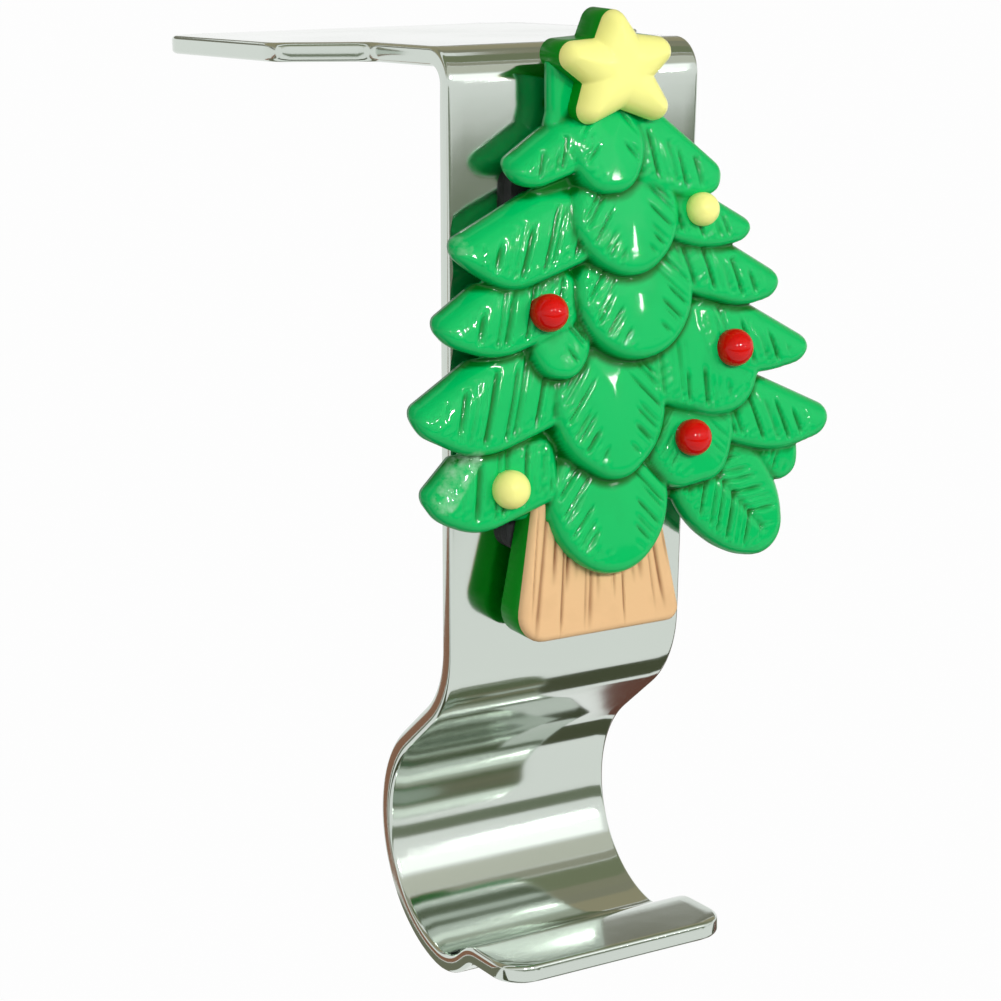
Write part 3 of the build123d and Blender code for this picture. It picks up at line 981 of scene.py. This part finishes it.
@dataclass
class BentStrip:
    """The plated strip: a stamped blank with rolled edges, bent along one path by angles in degrees."""

    thickness: float = 2.0
    edge_round: float = 0.5
    # Distances from the edge at which its roll has a row of vertices.
    edge_steps: tuple[float, ...] = (0.0, 0.03, 0.09, 0.17, 0.27, 0.38, 0.5)
    top_width: float = 30.0
    end_width: float = 27.9
    taper_top_z: float = -4.0
    low_z: float = -97.1
    plate_reach: float = 49.5
    plate_width: float = 46.0
    plate_round: float = 4.0
    neck_reach: float = 14.0
    neck_round: float = 3.0
    shoulder_reach: float = 21.0
    shoulder_round: float = 4.0
    lip_round: float = 3.6
    droop: float = 2.8
    bend_radius: float = 1.7
    face_drop: float = 60.2
    swing_radius: float = 10.0
    swing_angle: float = 50.0
    swing_run: float = 6.9
    cradle_radius: float = 12.1
    cradle_angle: float = 81.0
    heel_radius: float = 5.7
    heel_angle: float = 48.5
    heel_run: float = 1.2
    hump_radius: float = 3.0
    lip_lift: float = 3.0
    lip_run: float = 7.2
    arc_step: float = 2.5
    line_step: float = 1.2
    corner_step: float = 7.5
    shoulder_step: float = 0.35
    shoulder_margin: float = 3.0
    columns: int = 22

    def path(self) -> np.ndarray:
        """Middle line of the sheet from the plate's end to the lip's end.

        Returns:
            Length so far, y, z and heading in radians, one row per station.
        """
        half = self.thickness / 2.0
        droop = math.radians(self.droop)
        bend = self.bend_radius + half
        face_top = (half - bend - self.bend_radius * math.sin(droop)) / math.cos(droop)
        bend_end = np.array([-half + bend * (1.0 + math.sin(droop)), face_top + bend * math.cos(droop)])
        run = (self.plate_reach - bend_end[0]) / math.cos(droop)
        moves = [
            (run, 0.0),
            (bend, 90.0 + self.droop),
            (face_top + self.face_drop, 0.0),
            (self.swing_radius + half, self.swing_angle),
            (self.swing_run, 0.0),
            (self.cradle_radius + half, -(self.swing_angle + self.cradle_angle)),
            (self.heel_radius + half, -self.heel_angle),
            (self.heel_run, 0.0),
            (self.hump_radius + half, self.cradle_angle + self.heel_angle - 90.0 - self.lip_lift),
            (self.lip_run, 0.0),
        ]
        start = bend_end + run * np.array([math.cos(droop), -math.sin(droop)])
        return self._walk(moves, start, math.pi - droop)

    def _walk(self, moves: Sequence[Point], place: np.ndarray, heading: float) -> np.ndarray:
        """Steps along arcs and lines.

        Args:
            moves: Radius and turn in degrees of each arc, or length and a turn of 0 of each line.
            place: Where the first move starts, as y and z.
            heading: Direction there, in radians.

        Returns:
            Length so far, y, z and heading in radians, one row per station.
        """
        length = 0.0
        rows = [(length, *place, heading)]
        for size, degrees in moves:
            turn = math.radians(degrees)
            reach = abs(turn) * size if turn else size
            step = math.radians(self.arc_step) * size if turn else self.line_step
            count = max(2, math.ceil(reach / step))
            for share in np.arange(1, count + 1) / count:
                angle = heading + turn * share
                if turn:
                    swept = [math.sin(angle) - math.sin(heading), math.cos(heading) - math.cos(angle)]
                    move = math.copysign(size, turn) * np.array(swept)
                else:
                    move = share * size * np.array([math.cos(heading), math.sin(heading)])
                rows.append((length + share * reach, *(place + move), angle))
            length, place, heading = rows[-1][0], np.array(rows[-1][1:3]), rows[-1][3]
        return np.array(rows)

    def half_width(self, rows: np.ndarray) -> np.ndarray:
        """Shape of the blank along the path.

        Args:
            rows: Stations of the path.

        Returns:
            Half width of the blank at each station.
        """
        plate = rounded_chain(
            [
                (0.0, self.top_width / 2.0, 0.0),
                (self.neck_reach, self.top_width / 2.0, self.neck_round),
                (self.shoulder_reach, self.plate_width / 2.0, self.shoulder_round),
                (self.plate_reach, self.plate_width / 2.0, 0.0),
            ]
        )
        share = np.clip((self.taper_top_z - rows[:, 2]) / (self.taper_top_z - self.low_z), 0.0, 1.0)
        face = (self.top_width + (self.end_width - self.top_width) * share) / 2.0
        wide = np.interp(rows[:, 1], plate[:, 0], plate[:, 1])
        on_plate = (rows[:, 1] > self.neck_reach / 2.0) & (rows[:, 2] > -self.face_drop / 2.0)
        wide = np.where(on_plate, wide, face)
        for gap, radius in ((rows[:, 0], self.plate_round), (rows[-1, 0] - rows[:, 0], self.lip_round)):
            inset = np.clip(radius - gap, 0.0, radius)
            wide = wide - (radius - np.sqrt(radius**2 - inset**2))
        return wide

    def stations(self) -> np.ndarray:
        """Path with extra stations for the rolled edges, the round corners and the plate's shoulders.

        Returns:
            Length so far, y, z and heading in radians, one row per station.
        """
        rows = self.path()
        total = rows[-1, 0]
        arcs = 1.0 - np.cos(np.radians(np.arange(0.0, 90.0 + self.corner_step / 2.0, self.corner_step)))
        front = np.concatenate([self.edge_steps, self.plate_round * arcs])
        back = total - np.concatenate([self.edge_steps, self.lip_round * arcs])
        kept = rows[(rows[:, 0] > self.plate_round) & (rows[:, 0] < total - self.lip_round), 0]
        low, high = self.neck_reach - self.shoulder_margin, self.shoulder_reach + self.shoulder_margin
        shoulder = rows[0, 1] - np.arange(low, high, self.shoulder_step)
        lengths = np.unique(np.round(np.concatenate([front, kept, shoulder, back]), 4))
        return np.column_stack([lengths] + [np.interp(lengths, rows[:, 0], rows[:, k]) for k in (1, 2, 3)])

    def build(self, plating: bpy.types.Material) -> bpy.types.Object:
        """Makes the bent strip as one closed mesh.

        Args:
            plating: Finish of the strip.

        Returns:
            The new object.
        """
        rows = self.stations()
        wide = self.half_width(rows)
        inner = wide - self.edge_steps[-1]
        spread = np.linspace(-1.0, 1.0, self.columns)[1:-1]
        across = np.column_stack(
            [-(wide - gap) for gap in self.edge_steps]
            + [inner * share for share in spread]
            + [wide - gap for gap in reversed(self.edge_steps)]
        )
        flat = np.stack([np.broadcast_to(rows[:, :1], across.shape), across], axis=-1)
        edge = np.vstack([np.column_stack([rows[:, 0], wide]), np.column_stack([rows[:, 0], -wide])[::-1]])
        depth = inside_depth(flat.reshape(-1, 2), edge).reshape(across.shape)
        depth[[0, -1], :] = 0.0
        depth[:, [0, -1]] = 0.0
        half = self.thickness / 2.0 - rolled_drop(np.maximum(depth, 0.0), self.edge_round)
        sheets = [self._bend(rows, across, side * half) for side in (1.0, -1.0)]
        count = across.size
        index = np.arange(count).reshape(across.shape)
        cells = grid_cells(index)
        border = np.concatenate([index[:, 0], index[-1, 1:], index[-2::-1, -1], index[0, -2:0:-1]])
        faces = cells.tolist() + (cells[:, ::-1] + count).tolist()
        for a, b in zip(border.tolist(), np.roll(border, -1).tolist()):
            faces.append([b, a, a + count, b + count])
        return add_piece("strip_plated", np.vstack(sheets), faces, [plating])

    @staticmethod
    def _bend(rows: np.ndarray, across: np.ndarray, offset: np.ndarray) -> np.ndarray:
        """Bends points of the flat blank along the path.

        Args:
            rows: Stations of the path.
            across: Place of each point across the strip, one row per station.
            offset: Distance of each point from the middle of the sheet.

        Returns:
            The points in the part's frame.
        """
        heading = rows[:, 3:4]
        y = rows[:, 1:2] - np.sin(heading) * offset
        z = rows[:, 2:3] + np.cos(heading) * offset
        return np.stack([across, y, z], axis=-1).reshape(-1, 3)


def linear(red: float, green: float, blue: float) -> tuple[float, float, float, float]:
    """Turns a screen colour into a scene colour.

    Args:
        red: Red, 0 to 255.
        green: Green, 0 to 255.
        blue: Blue, 0 to 255.

    Returns:
        The linear colour, with an alpha of 1.
    """
    parts = [value / 255.0 for value in (red, green, blue)]
    made = [part / 12.92 if part <= 0.04045 else ((part + 0.055) / 1.055) ** 2.4 for part in parts]
    return (made[0], made[1], made[2], 1.0)


class Graph:
    """A node tree with short calls for adding and joining nodes."""

    def __init__(self, tree: bpy.types.NodeTree) -> None:
        """Takes the tree to add to."""
        self.tree = tree

    def node(self, kind: str, inputs: dict[str, object] | None = None, **settings: object) -> bpy.types.Node:
        """Adds a node.

        Args:
            kind: Type of the node.
            inputs: Values of its inputs by name.
            settings: Values of its own properties by name.

        Returns:
            The new node.
        """
        made = self.tree.nodes.new(kind)
        for label, value in settings.items():
            setattr(made, label, value)
        for label, value in (inputs or {}).items():
            made.inputs[label].default_value = value
        return made

    def join(self, source: bpy.types.NodeSocket, target: bpy.types.NodeSocket) -> None:
        """Links an output to an input."""
        self.tree.links.new(source, target)

    def math(
        self, operation: str, first: object, second: object, clamp: bool = False
    ) -> bpy.types.NodeSocket:
        """Adds a sum, product or the like.

        Args:
            operation: Name of the operation.
            first: A socket or a number.
            second: A socket or a number.
            clamp: Whether the result is kept between 0 and 1.

        Returns:
            The result's socket.
        """
        made = self.node("ShaderNodeMath", operation=operation, use_clamp=clamp)
        for place, item in enumerate((first, second)):
            if isinstance(item, (int, float)):
                made.inputs[place].default_value = item
            else:
                self.join(item, made.inputs[place])
        return made.outputs[0]

    def blend(self, share: bpy.types.NodeSocket, first: object, second: object) -> bpy.types.NodeSocket:
        """Adds a mix of two colours.

        Args:
            share: Share of the second colour.
            first: A socket or a colour.
            second: A socket or a colour.

        Returns:
            The mixed colour's socket.
        """
        made = self.node("ShaderNodeMix", data_type="RGBA")
        self.join(share, made.inputs["Factor"])
        for label, item in (("A", first), ("B", second)):
            if isinstance(item, tuple):
                made.inputs[label].default_value = item
            else:
                self.join(item, made.inputs[label])
        return made.outputs["Result"]

    def noise(self, scale: object, detail: float) -> bpy.types.NodeSocket:
        """Adds a noise over the object.

        Args:
            scale: A socket or a number.
            detail: Finer layers of the noise.

        Returns:
            The noise's value, about 0.5 on average.
        """
        made = self.node("ShaderNodeTexNoise", {"Detail": detail})
        self.join(self.node("ShaderNodeTexCoord").outputs["Object"], made.inputs["Vector"])
        if isinstance(scale, float):
            made.inputs["Scale"].default_value = scale
        else:
            self.join(scale, made.inputs["Scale"])
        return made.outputs["Fac"]


def new_material(name: str) -> tuple[bpy.types.Material, Graph]:
    """Makes a material with nodes.

    Args:
        name: Name of the material.

    Returns:
        The material, and a graph to add to its nodes.
    """
    material = bpy.data.materials.new(name)
    material.use_nodes = True
    return material, Graph(material.node_tree)


def new_group(
    name: str, inputs: Sequence[tuple[str, str, object]], outputs: Sequence[tuple[str, str]]
) -> Graph:
    """Starts a shader node group.

    Args:
        name: Name of the group.
        inputs: Name, socket kind and default of each input.
        outputs: Name and socket kind of each output.

    Returns:
        The group's graph, with its input and output nodes added.
    """
    tree = bpy.data.node_groups.new(name, "ShaderNodeTree")
    for label, kind, default in inputs:
        socket = tree.interface.new_socket(label, in_out="INPUT", socket_type=kind)
        socket.default_value = default
    for label, kind in outputs:
        tree.interface.new_socket(label, in_out="OUTPUT", socket_type=kind)
    graph = Graph(tree)
    graph.node("NodeGroupInput", name="In")
    graph.node("NodeGroupOutput", name="Out")
    return graph


# Brushed paint: size of its clouds, and how far they shift the share of the darker colour and the roughness.
CLOUD_SCALE, CLOUD_DETAIL = 260.0, 3.0
CLOUD_DARKENING, CLOUD_GLOSS = 0.3, 0.4
# Rubbed paint: size, threshold and contrast of its speckle, its dullness and its colour.
SPECKLE_SCALE, SPECKLE_DETAIL = 1100.0, 5.0
SPECKLE_START, SPECKLE_CONTRAST = 0.34, 2.6
RUB_DULLNESS = 0.3
RUB_COLOUR = (168, 214, 178)


def paint_film() -> bpy.types.NodeTree:
    """Group for brushed paint: darker where an input field asks, pale and dull where something rubbed off on
    it. On the foliage the darkening is painted shade in the hollows, with some pooled paint; on the trunk it
    is the bark's brown lines.

    Returns:
        The group.
    """
    graph = new_group(
        "PaintFilm",
        [
            ("Color", "NodeSocketColor", (0.5, 0.5, 0.5, 1.0)),
            ("Shade And Pool Color", "NodeSocketColor", (0.2, 0.2, 0.2, 1.0)),
            ("Shade And Pool", "NodeSocketFloat", 0.0),
            ("Rub", "NodeSocketFloat", 0.0),
            ("Roughness", "NodeSocketFloat", 0.25),
        ],
        [("Color", "NodeSocketColor"), ("Roughness", "NodeSocketFloat")],
    )
    entry, leave = graph.tree.nodes["In"].outputs, graph.tree.nodes["Out"].inputs
    clouds = graph.math("SUBTRACT", graph.noise(CLOUD_SCALE, CLOUD_DETAIL), 0.5)
    uneven = graph.math("MULTIPLY", clouds, CLOUD_DARKENING)
    shade_and_pool = graph.math("ADD", entry["Shade And Pool"], uneven, clamp=True)
    colour = graph.blend(shade_and_pool, entry["Color"], entry["Shade And Pool Color"])
    grain = graph.math("SUBTRACT", graph.noise(SPECKLE_SCALE, SPECKLE_DETAIL), SPECKLE_START)
    speckle = graph.math("MULTIPLY", grain, SPECKLE_CONTRAST)
    rubbed = graph.math("MULTIPLY", speckle, entry["Rub"], clamp=True)
    graph.join(graph.blend(rubbed, colour, linear(*RUB_COLOUR)), leave["Color"])
    gloss = graph.math("ADD", entry["Roughness"], graph.math("MULTIPLY", uneven, CLOUD_GLOSS))
    graph.join(graph.math("ADD", gloss, graph.math("MULTIPLY", rubbed, RUB_DULLNESS)), leave["Roughness"])
    return graph.tree


def surface_ripple() -> bpy.types.NodeTree:
    """Group for the slight unevenness of a surface, broad and fine together.

    Returns:
        The group.
    """
    graph = new_group(
        "SurfaceRipple",
        [
            ("Broad Scale", "NodeSocketFloat", 80.0),
            ("Fine Scale", "NodeSocketFloat", 600.0),
            ("Fine Share", "NodeSocketFloat", 0.2),
        ],
        [("Height", "NodeSocketFloat")],
    )
    entry, leave = graph.tree.nodes["In"].outputs, graph.tree.nodes["Out"].inputs
    broad, fine = (graph.noise(entry[label], 1.0) for label in ("Broad Scale", "Fine Scale"))
    graph.join(graph.math("ADD", broad, graph.math("MULTIPLY", fine, entry["Fine Share"])), leave["Height"])
    return graph.tree


@dataclass
class Groups:
    """Node groups that the finishes share."""

    paint: bpy.types.NodeTree = field(default_factory=paint_film)
    ripple: bpy.types.NodeTree = field(default_factory=surface_ripple)


@dataclass(frozen=True)
class Ripple:
    """How uneven a finish is: sizes of the unevenness and its height in millimetres."""

    broad_scale: float
    fine_scale: float
    fine_share: float
    height: float

    def join(
        self, graph: Graph, shader: bpy.types.Node, ripple: bpy.types.NodeTree
    ) -> bpy.types.NodeSocket:
        """Feeds the unevenness to a shader's normal.

        Args:
            graph: Nodes of the material.
            shader: Shader of the material.
            ripple: The shared group.

        Returns:
            The unevenness, for other uses.
        """
        made = graph.node("ShaderNodeGroup", node_tree=ripple)
        made.inputs["Broad Scale"].default_value = self.broad_scale
        made.inputs["Fine Scale"].default_value = self.fine_scale
        made.inputs["Fine Share"].default_value = self.fine_share
        bump = graph.node("ShaderNodeBump", {"Distance": self.height * MM})
        graph.join(made.outputs["Height"], bump.inputs["Height"])
        graph.join(bump.outputs["Normal"], shader.inputs["Normal"])
        return made.outputs["Height"]


@dataclass(frozen=True)
class Enamel:
    """A brushed paint, or another coloured surface that is mottled like one."""

    name: str
    colour: Colour
    # Darker colour that a field mixes in; on the foliage's green it is painted shade.
    shade_and_pool: Colour
    roughness: float = 0.3
    shine: float = 0.04
    coat: float = 0.42
    coat_roughness: float = 0.06
    shade_and_pool_field: str = ""
    rub_field: str = ""
    ripple: Ripple = Ripple(180.0, 900.0, 0.15, 0.04)

    def make(self, groups: Groups) -> bpy.types.Material:
        """Makes the paint's material.

        Args:
            groups: The shared node groups.

        Returns:
            The material.
        """
        material, graph = new_material(self.name)
        shader = material.node_tree.nodes["Principled BSDF"]
        film = graph.node("ShaderNodeGroup", node_tree=groups.paint)
        film.inputs["Color"].default_value = linear(*self.colour)
        film.inputs["Shade And Pool Color"].default_value = linear(*self.shade_and_pool)
        film.inputs["Roughness"].default_value = self.roughness
        for socket, label in (("Shade And Pool", self.shade_and_pool_field), ("Rub", self.rub_field)):
            if label:
                values = graph.node("ShaderNodeAttribute", attribute_name=label)
                graph.join(values.outputs["Fac"], film.inputs[socket])
        graph.join(film.outputs["Color"], shader.inputs["Base Color"])
        graph.join(film.outputs["Roughness"], shader.inputs["Roughness"])
        shader.inputs["Specular IOR Level"].default_value = self.shine
        shader.inputs["Coat Weight"].default_value = self.coat
        shader.inputs["Coat Roughness"].default_value = self.coat_roughness
        self.ripple.join(graph, shader, groups.ripple)
        return material


@dataclass(frozen=True)
class Plating:
    """Bright plated metal with a faint haze."""

    name: str
    colour: Colour = (203, 211, 203)
    roughness: float = 0.1
    haze: float = 0.16
    haze_middle: float = 0.54
    ripple: Ripple = Ripple(45.0, 260.0, 0.08, 0.06)

    def make(self, groups: Groups) -> bpy.types.Material:
        """Makes the plating's material.

        Args:
            groups: The shared node groups.

        Returns:
            The material.
        """
        material, graph = new_material(self.name)
        shader = material.node_tree.nodes["Principled BSDF"]
        shader.inputs["Base Color"].default_value = linear(*self.colour)
        shader.inputs["Metallic"].default_value = 1.0
        height = self.ripple.join(graph, shader, groups.ripple)
        haze = graph.math("MULTIPLY", graph.math("SUBTRACT", height, self.haze_middle), self.haze)
        graph.join(graph.math("ADD", haze, self.roughness), shader.inputs["Roughness"])
        return material


FOAM_PITS = Ripple(900.0, 3000.0, 0.5, 0.15)


class Finish(Enum):
    """Finishes of the holder."""

    CHROME = Plating("chrome")
    FOAM = Enamel("foam", (40, 40, 42), (26, 26, 28), roughness=0.85, shine=0.5, coat=0.0, ripple=FOAM_PITS)
    # The green's darker colour is painted shade in the foliage's hollows, with some pooled paint.
    GREEN = Enamel("green_paint", (0, 190, 96), (0, 104, 24), shade_and_pool_field="hollow", rub_field="rub")
    # A darker copy of the green for the sides and backs of the star and trunk: painted shade.
    SIDE_GREEN = Enamel("shaded_side_green_paint", (0, 148, 26), (0, 110, 14), coat=0.1)
    YELLOW = Enamel("yellow_paint", (255, 252, 150), (242, 234, 98))
    RED = Enamel("red_paint", (214, 10, 4), (160, 4, 4), roughness=0.15)
    TAN = Enamel("tan_paint", (236, 194, 144), (120, 66, 34), roughness=0.45, coat=0.15, shade_and_pool_field="bark")


@dataclass(frozen=True)
class Softbox:
    """One soft light aimed at the holder, wide along X."""

    name: str
    place: Place
    width: float
    height: float
    power: float
    mirrored: bool = True


@dataclass(frozen=True)
class Card:
    """A long card beside the holder that only mirrored rays see, set by its angles round the X axis."""

    name: str
    start: float
    end: float
    colour: Colour
    left: float = -1.6
    right: float = 1.6
    strength: float = 1.0


@dataclass
class Studio:
    """Camera, lights, floor and surroundings."""

    sensor: float = 36.0
    lens: float = 93.74
    near_clip: float = 0.01
    camera_place: Place = (-0.142626, -0.225668, 0.025226)
    azimuth: float = -30.942
    pitch: float = 14.98
    roll: float = 0.583
    target: Place = (0.003, -0.005, -0.035)
    floor_z: float = -0.5
    floor_reach: float = 9.0
    floor_colour: tuple[float, float, float, float] = (0.8, 0.8, 0.79, 1.0)
    floor_roughness: float = 0.9
    floor_white: float = 0.98
    ambient: float = 0.24
    card_reach: float = 0.4
    card_rows: int = 7
    softboxes: tuple[Softbox, ...] = (
        Softbox("near_light", (-0.15, -0.49, 0.2), 0.024, 0.04, 0.72),
        Softbox("key_light", (0.05, -0.49, 0.2), 0.032, 0.046, 0.95),
        Softbox("strip_light", (0.42, -0.49, 0.2), 0.44, 0.13, 1.35, mirrored=False),
        Softbox("face_light", (0.3, -0.46, 0.08), 0.012, 0.04, 0.14),
        Softbox("side_light", (-0.5, -0.2, 0.1), 0.3, 0.3, 0.4, mirrored=False),
    )
    cards: tuple[Card, ...] = (
        Card("back_card", 14.0, 24.0, (132, 130, 118)),
        Card("gold_card", 26.0, 58.0, (168, 160, 134)),
        Card("warm_card", 58.0, 71.0, (150, 147, 128)),
        Card("corner_card", 71.0, 84.0, (152, 149, 128), left=0.2),
        Card("ceiling_card", 84.0, 108.0, (133, 139, 112)),
        Card("soft_card", 109.0, 119.0, (168, 166, 150)),
        Card("pale_card", 120.0, 142.0, (218, 217, 206)),
        Card("sky_card", 145.0, 163.0, (255, 255, 255), left=0.13, right=0.32, strength=1.6),
        Card("front_card", 184.0, 197.0, (124, 132, 112)),
        Card("table_card", 256.0, 280.0, (84, 88, 68)),
        Card("shelf_card", 286.0, 308.0, (110, 74, 64), left=0.23),
        Card("under_card", 309.0, 326.0, (126, 126, 108)),
        Card("wall_card", 327.0, 338.0, (156, 114, 94), right=-0.1),
    )

    def build(self) -> None:
        """Makes the whole setting."""
        self._camera()
        self._world()
        self._floor()
        for softbox in self.softboxes:
            self._softbox(softbox)
        for card in self.cards:
            self._card(card)
        bpy.context.scene.view_settings.view_transform = "Standard"

    def _camera(self) -> None:
        """Places the camera at the photograph's angle."""
        data = bpy.data.cameras.new("camera")
        data.sensor_width = self.sensor
        data.lens = self.lens
        data.clip_start = self.near_clip
        camera = bpy.data.objects.new("camera", data)
        turn, tip = math.radians(self.azimuth), math.radians(self.pitch)
        back = Vector((math.sin(turn) * math.cos(tip), -math.cos(turn) * math.cos(tip), math.sin(tip)))
        side = Vector((math.cos(turn), math.sin(turn), 0.0))
        spin = Matrix.Rotation(math.radians(self.roll), 4, back)
        axes = Matrix([side, back.cross(side), back]).transposed().to_4x4()
        camera.matrix_world = Matrix.Translation(self.camera_place) @ spin @ axes
        bpy.context.scene.collection.objects.link(camera)
        bpy.context.scene.camera = camera

    @staticmethod
    def _seen_white(
        graph: Graph, plain: bpy.types.NodeSocket, white: bpy.types.NodeSocket, share: float
    ) -> bpy.types.NodeSocket:
        """Shows white to the camera and in mirrored and transmitted rays, and lights with a plain shader.

        Args:
            graph: Nodes to add to.
            plain: Shader that lights the holder.
            white: Shader that is seen.
            share: Share of white for the camera's own rays.

        Returns:
            The mixed shader.
        """
        path = graph.node("ShaderNodeLightPath").outputs
        mirrored = graph.math("MAXIMUM", path["Is Glossy Ray"], path["Is Transmission Ray"])
        seen = graph.math("MULTIPLY", path["Is Camera Ray"], share)
        mix = graph.node("ShaderNodeMixShader")
        graph.join(graph.math("MAXIMUM", seen, mirrored), mix.inputs[0])
        graph.join(plain, mix.inputs[1])
        graph.join(white, mix.inputs[2])
        return mix.outputs[0]

    def _world(self) -> None:
        """White behind the object and in its mirror images, and a plain soft light all round."""
        world = bpy.data.worlds.new("studio")
        bpy.context.scene.world = world
        world.use_nodes = True
        graph = Graph(world.node_tree)
        room = world.node_tree.nodes["Background"]
        room.inputs["Color"].default_value = (1.0, 1.0, 1.0, 1.0)
        room.inputs["Strength"].default_value = self.ambient
        white = graph.node("ShaderNodeBackground", {"Color": (1.0, 1.0, 1.0, 1.0)})
        shown = self._seen_white(graph, room.outputs[0], white.outputs[0], 1.0)
        graph.join(shown, world.node_tree.nodes["World Output"].inputs["Surface"])

    def _floor(self) -> None:
        """A pale floor below the holder, nearly white to the camera, so that it keeps a faint shadow."""
        reach = self.floor_reach
        corners = [(-reach, -reach), (reach, -reach), (reach, reach), (-reach, reach)]
        points = np.array([(x, y, self.floor_z) for x, y in corners]) / MM
        material, graph = new_material("floor")
        shader = material.node_tree.nodes["Principled BSDF"]
        shader.inputs["Base Color"].default_value = self.floor_colour
        shader.inputs["Roughness"].default_value = self.floor_roughness
        white = graph.node("ShaderNodeEmission")
        shown = self._seen_white(graph, shader.outputs[0], white.outputs[0], self.floor_white)
        graph.join(shown, material.node_tree.nodes["Material Output"].inputs["Surface"])
        add_piece("floor", points, [[0, 1, 2, 3]], [material])

    def _softbox(self, softbox: Softbox) -> None:
        """Places one soft light.

        Args:
            softbox: Place, size and power of the light.
        """
        data = bpy.data.lights.new(softbox.name, "AREA")
        data.shape = "RECTANGLE"
        data.size = softbox.width
        data.size_y = softbox.height
        data.energy = softbox.power
        light = bpy.data.objects.new(softbox.name, data)
        light.location = softbox.place
        light.visible_glossy = softbox.mirrored
        aim = Vector(self.target) - Vector(softbox.place)
        light.rotation_euler = aim.to_track_quat("-Z", "Y").to_euler()
        bpy.context.scene.collection.objects.link(light)

    def _card(self, card: Card) -> None:
        """Places one card on a wide arc round the X axis, seen by mirrored rays alone.

        Args:
            card: Angles, reach and colour of the card.
        """
        points = []
        for turn in np.radians(np.linspace(card.start, card.end, self.card_rows)):
            y = self.target[1] + self.card_reach * math.cos(turn)
            z = self.target[2] + self.card_reach * math.sin(turn)
            points += [(card.left, y, z), (card.right, y, z)]
        faces = [[2 * i, 2 * i + 1, 2 * i + 3, 2 * i + 2] for i in range(self.card_rows - 1)]
        material, graph = new_material(card.name)
        glow = graph.node("ShaderNodeEmission", {"Color": linear(*card.colour), "Strength": card.strength})
        graph.join(glow.outputs[0], material.node_tree.nodes["Material Output"].inputs["Surface"])
        piece = add_piece(card.name, np.array(points) / MM, faces, [material])
        piece.visible_camera = False
        piece.visible_diffuse = False
        piece.visible_shadow = False


@dataclass
class StockingHolder:
    """The whole holder."""

    strip: BentStrip = field(default_factory=BentStrip)
    tree: TreeCasting = field(default_factory=TreeCasting)

    def build(self, nodes: dict[str, bpy.types.Object]) -> None:
        """Makes every piece and seats it on the part.

        Args:
            nodes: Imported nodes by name.
        """
        groups = Groups()
        paints = {finish: finish.value.make(groups) for finish in Finish}
        # The star's and trunk's sides and backs take the darker green, a painted shade.
        green, side = paints[Finish.GREEN], paints[Finish.SIDE_GREEN]
        seat(self.strip.build(paints[Finish.CHROME]), "bent_strip")
        casting = [
            self.tree.build_leaves(green),
            self.tree.build_star(paints[Finish.YELLOW], side),
            self.tree.build_trunk(paints[Finish.TAN], side),
        ]
        for bauble in self.tree.baubles:
            casting.append(self.tree.build_bauble(bauble, paints[Finish[bauble.colour.name]]))
        for piece in casting:
            seat(piece, "tree_figure")
        pad = nodes["adhesive_pad"]
        pad.data.materials.clear()
        pad.data.materials.append(paints[Finish.FOAM])
        log_piece(pad)


def main() -> None:
    """Builds the scene."""
    logging.basicConfig(level=logging.INFO, format="%(name)s: %(message)s")
    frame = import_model()
    StockingHolder().build(frame["nodes"])
    Studio().build()
    bpy.context.view_layer.update()


if __name__ == "__main__":
    main()
